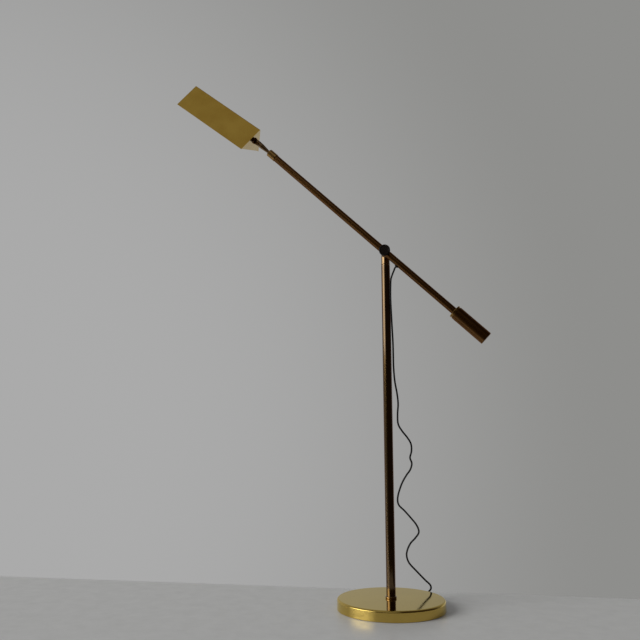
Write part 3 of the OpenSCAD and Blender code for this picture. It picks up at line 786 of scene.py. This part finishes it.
@dataclass
class CoilTie:
    """Woven tape round the coil's turns, with rounded corners and edges; sizes are in millimetres."""

    lead: MainsLead
    width: float = 6.0
    thickness: float = 0.8
    slack: float = 0.6
    under: float = 0.3
    bend: float = 1.4
    bend_steps: int = 6
    edge: float = 0.4
    edge_low: float = 0.15
    edge_high: float = 0.65

    def _section(self) -> list[Pair]:
        """The tape's section.

        Returns:
            Each corner's place across the tape and its height off the inner side.
        """
        half = self.width / 2
        flat = half - self.edge
        return [
            (-half, self.edge_low), (-flat, 0.0), (flat, 0.0), (half, self.edge_low),
            (half, self.edge_high), (flat, self.thickness), (-flat, self.thickness), (-half, self.edge_high),
        ]

    def build(self, material: bpy.types.Material) -> bpy.types.Object:
        """Sweeps the tape round the bundle.

        Args:
            material: the tape's finish.

        Returns:
            The tie.
        """
        lead, bend = self.lead, self.bend
        radius = lead.diameter / 2
        inner = lead.coil_radius - lead.coil_step * lead.coil_turns / 2 - radius - self.slack
        outer = lead.coil_radius + radius + self.slack
        low = lead.coil_low - radius - self.under
        high = low + lead.coil_layer + lead.diameter + self.slack
        outline: list[Pair] = []
        for cx, cz, start in (
            (outer - bend, low + bend, -90), (outer - bend, high - bend, 0),
            (inner + bend, high - bend, 90), (inner + bend, low + bend, 180),
        ):
            for i in range(self.bend_steps + 1):
                t = math.radians(start + 90 * i / self.bend_steps)
                outline.append((cx + bend * math.cos(t), cz + bend * math.sin(t)))
        mesh = bmesh.new()
        centre = lead.coil_centre()
        middle = Vector(((inner + outer) / 2, 0, (low + high) / 2))
        rings = []
        for x, z in outline:
            away = Vector((0, 0, math.copysign(1, z - middle.z)))
            if abs(z - middle.z) < (high - low) / 2 - bend:
                away = Vector((math.copysign(1, x - middle.x), 0, 0))
            place = centre + Vector((x, 0, z))
            spots = [place + away * out + Vector((0, y, 0)) for y, out in self._section()]
            rings.append([mesh.verts.new(spot * MM) for spot in spots])
        join_rings(mesh, rings, closed=True)
        tie = link_mesh("coil_tape", mesh)
        dress(tie, material)
        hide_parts("coil_tie")
        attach(tie, Body.STAND.value)
        return tie


@dataclass
class Stand:
    """Base and pole.

    Each felt row holds a share of the felt's radius and of its thickness. The fuzz is the share by which
    fibres fall short on the rows beyond fuzz_from.
    """

    nodes: Mapping[str, bpy.types.Object]
    bright: tuple[str, ...] = ("base_cover",)
    turned: tuple[str, ...] = ("pole_foot_plug", "foot_ring", "pole_top_plug", "plug_blades")
    dark: tuple[str, ...] = ("pole_tube",)
    steel: tuple[str, ...] = ("base_rod", "base_washer", "base_nut")
    iron: tuple[str, ...] = ("base_weight",)
    felt_segments: int = 180
    felt_rows: tuple[Pair, ...] = (
        (0.55, 0.0), (0.97, 0.0), (0.993, 0.12), (1.0, 0.5), (0.995, 0.9), (0.97, 1.0), (0.55, 1.0),
    )
    fuzz: float = 0.0012
    fuzz_from: float = 0.99
    fuzz_waves: Pair = (37, 61)
    fuzz_shift: float = 1.3

    def build(self, finishes: Finishes) -> None:
        """Dresses the base, its fastening, the pole and the felt.

        Args:
            finishes: the lamp's finishes.
        """
        # The pole's finish is painted dark brown for the dark room it reflects, and the fittings' finish is
        # painted brown
        groups = (
            (self.bright, finishes.spun_brass), (self.turned, finishes.turned_brass_painted_brown),
            (self.steel, finishes.plated_steel), (self.dark, finishes.pole_brass_painted_dark),
            (self.iron, finishes.cast_iron),
        )
        dress_nodes(self.nodes, groups)
        self._felt(finishes.wool_felt.material())
        LOG.info("stand: base, pole and felt dressed")

    def _felt(self, material: bpy.types.Material) -> None:
        """Makes the felt disc with a soft, slightly uneven edge.

        Args:
            material: the felt's finish.
        """
        low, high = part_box("base_felt")
        radius = (high.x - low.x) / 2
        thick = high.z - low.z
        coarse, fine = self.fuzz_waves
        mesh = bmesh.new()
        rings = []
        for share, z in self.felt_rows:
            ring = []
            for k in range(self.felt_segments):
                t = 2 * math.pi * k / self.felt_segments
                ripple = 1 + math.sin(coarse * t) * math.sin(fine * t + self.fuzz_shift)
                r = radius * share * (1 - self.fuzz * ripple if share > self.fuzz_from else 1)
                ring.append(mesh.verts.new((r * math.cos(t), r * math.sin(t), low.z + thick * z)))
            rings.append(ring)
        join_rings(mesh, rings)
        felt = link_mesh("felt_disc", mesh)
        dress(felt, material)
        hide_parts("base_felt")
        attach(felt, Body.STAND.value)


@dataclass
class BalancedArm:
    """Swivel head, tension knob, arm, counterweight and neck."""

    nodes: Mapping[str, bpy.types.Object]
    dark: tuple[str, ...] = ("arm_tube", "counterweight", "shade_lug", "knuckle_screw", "knuckle_nut")
    turned: tuple[str, ...] = ("arm_bush", "swivel_head", "neck")
    painted_bright: tuple[str, ...] = ("arm_collar", "counterweight_ring")
    steel: tuple[str, ...] = ("swivel_stop_screw", "pivot_bolt", "counterweight_screw", "neck_nut")
    knob: tuple[str, ...] = ("pivot_knob",)
    washers: tuple[str, ...] = ("friction_washers",)
    grommet: tuple[str, ...] = ("cord_grommet",)

    def build(self, finishes: Finishes) -> None:
        """Dresses the head, the arm and what is on it.

        Args:
            finishes: the lamp's finishes.
        """
        # The arm's and the fittings' finishes are painted dark for the dark room they reflect, and the
        # collar's and ring's are painted lighter for brighter highlights
        groups = (
            (self.dark, finishes.arm_brass_painted_dark), (self.turned, finishes.turned_brass_painted_brown),
            (self.painted_bright, finishes.fitting_brass_painted_bright), (self.steel, finishes.plated_steel),
            (self.knob, finishes.phenolic), (self.washers, finishes.fibre),
            (self.grommet, finishes.vinyl_lead),
        )
        dress_nodes(self.nodes, groups)
        LOG.info("arm: head, knob, counterweight and neck dressed")


@dataclass
class TentShade:
    """Folded shade with an enamel lining, its socket, bulb and switch; sizes are in mm and degrees."""

    nodes: Mapping[str, bpy.types.Object]
    pin: Point = (-330.99, -22.0, 1168.21)
    roll: float = -24.8
    drop: float = 5.5
    half_angle: float = 36.0
    slant: float = 77.0
    sheet: float = 0.8
    ridge: float = 34.0
    start: float = 13.4
    length: float = 235.0
    lining_skin: float = 0.12
    lining_lift: float = 0.02
    lining_ends: float = 0.3
    lining_top: float = 4.5
    lining_edge: float = 1.2
    switch_at: float = 32.5
    switch_hole: float = 3.5
    hole_corners: int = 24
    hole_from: float = -135.0
    fold: tuple[str, ...] = ("shade_shell",)
    plates: tuple[str, ...] = ("shade_end_near", "shade_end_far")
    steel: tuple[str, ...] = ("stub_nut",)
    moulded: tuple[str, ...] = ("bulb_socket", "switch_knob")
    cap: tuple[str, ...] = ("bulb_cap",)
    bulb: tuple[str, ...] = ("bulb_glass",)

    def frame(self) -> Matrix:
        """The shade's own frame: origin at the knuckle's pin, X along the shade, Z towards the ridge.

        Returns:
            The frame, in millimetres.
        """
        turn = Matrix.Rotation(math.pi, 4, "Z") @ Matrix.Rotation(-ARM_RISE, 4, "Y")
        turn = turn @ Matrix.Rotation(math.radians(self.roll), 4, "X")
        turn = turn @ Matrix.Rotation(math.radians(self.drop), 4, "Y")
        return Matrix.Translation(Vector(self.pin)) @ turn

    def build(self, finishes: Finishes) -> None:
        """Dresses the shade and adds its lining.

        Args:
            finishes: the lamp's finishes.
        """
        # The end plates' finish is painted paler for the lit wall that they reflect, and the fittings'
        # finish is painted brown
        groups = (
            (self.fold, finishes.sheet_brass), (self.plates, finishes.plate_brass_painted_pale),
            (self.steel, finishes.plated_steel), (self.moulded, finishes.phenolic),
            (self.cap, finishes.turned_brass_painted_brown), (self.bulb, finishes.frosted_bulb),
        )
        dress_nodes(self.nodes, groups)
        self._lining(finishes.enamel.material())
        LOG.info("shade: fold, lining, socket, bulb and switch dressed")

    @staticmethod
    def _close_skin(
        mesh: bmesh.types.BMesh, back: Sequence[bmesh.types.BMVert], front: Sequence[bmesh.types.BMVert]
    ) -> None:
        """Closes a thin plate between two sheets of points: four corners, then any points round a hole.

        Args:
            mesh: the bmesh that takes the faces.
            back: points of the sheet on the brass.
            front: points of the sheet that shows.
        """
        corners = 4
        count = len(back) - corners
        for start, number in ((0, corners), (corners, count)):
            for k in range(number):
                here, there = start + k, start + (k + 1) % number
                mesh.faces.new((back[here], back[there], front[there], front[here]))
        for sheet in (back, front):
            if not count:
                mesh.faces.new(sheet)
                continue
            for k in range(corners):
                arc = range(k * count // corners, (k + 1) * count // corners + 1)
                rim = [sheet[corners + j % count] for j in arc]
                mesh.faces.new([sheet[k], sheet[(k + 1) % corners], *reversed(rim)])

    def _lining(self, material: bpy.types.Material) -> None:
        """Makes the enamel inside the two faces: a thin skin just off the brass, open round the switch.

        Args:
            material: the enamel.
        """
        a = math.radians(self.half_angle)
        place = self.frame()
        down = Vector((0, math.sin(a), -math.cos(a)))
        inward = Vector((0, -math.cos(a), -math.sin(a)))
        top = Vector((0, 0, self.ridge))
        near = self.start + self.sheet + self.lining_ends
        far = self.start + self.length - self.sheet - self.lining_ends
        high, low = self.lining_top, self.slant - self.lining_edge
        outline = [(near, high), (far, high), (far, low), (near, low)]
        middle, radius, count = self.ridge * math.cos(a), self.switch_hole, self.hole_corners
        turns = [math.radians(360 * k / count + self.hole_from) for k in range(count)]
        hole = [(self.switch_at + radius * math.cos(t), middle + radius * math.sin(t)) for t in turns]
        mesh = bmesh.new()
        for side, points in ((1, outline), (-1, outline + hole)):
            flip = Matrix.Diagonal((1, side, 1))
            sheets = []
            for depth in (self.sheet + self.lining_lift, self.sheet + self.lining_skin):
                spots = [
                    flip @ (top + along * down + depth * inward) + Vector((x, 0, 0)) for x, along in points
                ]
                sheets.append([mesh.verts.new(place @ spot * MM) for spot in spots])
            self._close_skin(mesh, *sheets)
        lining = link_mesh("shade_enamel", mesh, smooth=False)
        dress(lining, material)
        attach(lining, Body.SHADE.value)


@dataclass
class Studio:
    """Camera, floor, world and lamps.

    Places are in metres in the photograph's frame, before the turn, and angles are in degrees. Each fade
    holds the cosines at which what is seen in a direction begins and is full.
    """

    focal_px: float = 690.0
    frame_px: float = 640.0
    sensor_mm: float = 36.0
    camera_at: Point = (-0.1665, -1.7033, 0.3861)
    pitch: float = 9.967
    turn: float = 8.5
    floor_reach: float = 9.0
    floor_near: float = -0.45
    floor_side: float = 0.26
    floor_level: float = -0.0002
    wall_behind: float = 0.2133
    wall_slope: float = -0.171
    wall_left: str = "#ABABAB"
    wall_right: str = "#8E8E8C"
    wall_fade: Pair = (-1.0, -0.6)
    room_colour: str = "#332B24"
    room_towards: Point = (0.5, -0.866, 0.0)
    room_fade: Pair = (-0.45, 0.5)
    ceiling_colour: str = "#8F8F8D"
    ceiling_towards: Point = (-0.23, -0.66, 0.72)
    ceiling_fade: Pair = (0.84, 0.975)
    card_colour: str = "#B6B7B8"
    card_towards: Point = (0.62, 0.76, -0.16)
    card_fade: Pair = (0.88, 0.96)
    soft_colour: str = "#F2F2F4"
    soft_strength: float = 0.22
    sky_colour: str = "#FFFEFC"
    sky_heading: Point = (0.816, 0.396, -0.423)
    sky_strength: float = 2.2
    sky_width: float = 34.0
    window_at: Point = (-18.9, -6.5, 7.0)
    window_aim: Point = (0.0, 0.0, 5.0)
    window_widths: tuple[float, ...] = (10.0, 15.0, 20.0, 25.0)
    window_height: float = 7.5
    window_step: float = 0.05
    window_power: float = 1550.0
    window_colour: str = "#F6F9FF"
    # Painted boards: pale, even, with a soft gloss
    floor_paint: GrainySolid = GrainySolid(
        "painted_floor", "#C4C4C2", "#C0C0BE", roughness=0.33, grain_mm=40.0, bump=0.02
    )

    def turned(self, place: Point) -> Vector:
        """Turns a place in the photograph's frame about the pole, as far as the head was turned."""
        return Matrix.Rotation(math.radians(self.turn), 3, "Z") @ Vector(place)

    def camera(self) -> None:
        """Makes the camera at the photograph's viewpoint."""
        data = bpy.data.cameras.new("photo_camera")
        data.sensor_width = self.sensor_mm
        data.lens = self.focal_px / self.frame_px * self.sensor_mm
        view = bpy.data.objects.new("photo_camera", data)
        view.location = self.turned(self.camera_at)
        view.rotation_euler = (math.radians(90 + self.pitch), 0, math.radians(self.turn))
        bpy.context.scene.collection.objects.link(view)
        bpy.context.scene.camera = view

    def floor(self) -> None:
        """Makes the pale floor up to where the wall would begin; the metal shows only its near part."""
        far, near, side = self.floor_reach, self.floor_near, self.floor_side
        left_end, side_end, right_end = (self.wall_behind + self.wall_slope * x for x in (-far, side, far))
        material = self.floor_paint.material()
        for name, corners, mirrored in (
            ("floor", ((-far, near), (side, near), (side, side_end), (-far, left_end)), True),
            (
                "floor_side",
                ((side, near), (side, -far), (far, -far), (far, right_end), (side, side_end)),
                False,
            ),
            ("floor_front", ((-far, -far), (side, -far), (side, near), (-far, near)), False),
        ):
            mesh = bmesh.new()
            mesh.faces.new([mesh.verts.new(self.turned((x, y, self.floor_level))) for x, y in corners])
            floor = link_mesh(name, mesh, smooth=False)
            floor.visible_glossy = mirrored
            dress(floor, material)

    def _share(self, tree: bpy.types.NodeTree, towards: Point, fade: Pair) -> bpy.types.NodeSocket:
        """How far a ray goes towards a direction, from 0 to 1.

        Args:
            tree: the world's tree.
            towards: the direction, in the photograph's frame.
            fade: cosines at which the share is 0 and 1.

        Returns:
            The share.
        """
        way = add_node(tree, "ShaderNodeTexCoord").outputs["Generated"]
        along = add_node(
            tree, "ShaderNodeVectorMath", values={1: self.turned(towards)}, links={0: way},
            operation="DOT_PRODUCT",
        )
        share = add_node(
            tree, "ShaderNodeMapRange", values=span_values(fade, (0.0, 1.0)),
            links={"Value": along.outputs["Value"]}, interpolation_type="SMOOTHSTEP",
        )
        return share.outputs[0]

    def world(self) -> None:
        """Makes the wall that the camera sees, what the metal sees, and the even light on the rest.

        The metal sees the same wall behind it and to its left, a darker room in front, a pale ceiling, and
        a pale card behind on the right.
        """
        world = bpy.data.worlds.new("studio")
        bpy.context.scene.world = world
        world.use_nodes = True
        tree = world.node_tree
        tree.nodes.clear()
        rays = add_node(tree, "ShaderNodeLightPath")
        shades = (
            (self.wall_left, 1.0), (self.wall_right, 1.0), (self.room_colour, 1.0),
            (self.ceiling_colour, 1.0), (self.card_colour, 1.0), (self.soft_colour, self.soft_strength),
        )
        lit, dim, room, ceiling, card, soft = (
            add_node(
                tree, "ShaderNodeBackground", values={"Color": linear(colour), "Strength": strength}
            ).outputs[0]
            for colour, strength in shades
        )
        across = self._share(tree, self.room_towards, self.wall_fade)
        wall = add_node(tree, "ShaderNodeMixShader", links={0: across, 1: lit, 2: dim}).outputs[0]
        metal = wall
        for towards, fade, seen in (
            (self.room_towards, self.room_fade, room), (self.ceiling_towards, self.ceiling_fade, ceiling),
            (self.card_towards, self.card_fade, card),
        ):
            share = self._share(tree, towards, fade)
            metal = add_node(tree, "ShaderNodeMixShader", links={0: share, 1: metal, 2: seen}).outputs[0]
        shown = soft
        for ray, seen in (("Is Camera Ray", wall), ("Is Glossy Ray", metal), ("Is Transmission Ray", wall)):
            links = {0: rays.outputs[ray], 1: shown, 2: seen}
            shown = add_node(tree, "ShaderNodeMixShader", links=links).outputs[0]
        add_node(tree, "ShaderNodeOutputWorld", links={0: shown})

    def window(self) -> None:
        """Adds the window on the left as nested lamps, so that it fades towards its ends."""
        x, y, z = self.window_at
        for k, width in enumerate(self.window_widths):
            data = bpy.data.lights.new(f"window_left_{k}", "AREA")
            data.shape = "RECTANGLE"
            data.size, data.size_y = width, self.window_height
            data.energy = self.window_power * (width / sum(self.window_widths))
            data.color = linear(self.window_colour)[:3]
            lamp = bpy.data.objects.new(data.name, data)
            lamp.location = self.turned((x - self.window_step * k, y, z))
            heading = Vector(self.window_aim) - lamp.location
            lamp.rotation_euler = heading.to_track_quat("-Z", "Y").to_euler()
            bpy.context.scene.collection.objects.link(lamp)

    def sky(self) -> None:
        """Adds the soft light that comes down from the left; the metal does not show it."""
        data = bpy.data.lights.new("sky_left", "SUN")
        data.energy = self.sky_strength
        data.angle = math.radians(self.sky_width)
        data.color = linear(self.sky_colour)[:3]
        sky = bpy.data.objects.new("sky_left", data)
        sky.visible_glossy = False
        sky.rotation_euler = self.turned(self.sky_heading).to_track_quat("-Z", "Y").to_euler()
        bpy.context.scene.collection.objects.link(sky)

    def build(self) -> None:
        """Sets up the camera, the floor, the world and the lamps."""
        bpy.context.scene.view_settings.view_transform = "Standard"
        self.camera()
        self.floor()
        self.world()
        self.window()
        self.sky()
        LOG.info("studio: camera, floor, world and lamps")


def main() -> None:
    """Builds the lamp's looks in order."""
    logging.basicConfig(level=logging.INFO, format="%(name)s %(message)s")
    for old in list(bpy.data.objects):
        bpy.data.objects.remove(old)
    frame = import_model()
    finishes = Finishes()
    Studio().build()
    MainsLead().build(finishes)
    Stand(frame["nodes"]).build(finishes)
    BalancedArm(frame["nodes"]).build(finishes)
    TentShade(frame["nodes"]).build(finishes)


if __name__ == "__main__":
    main()
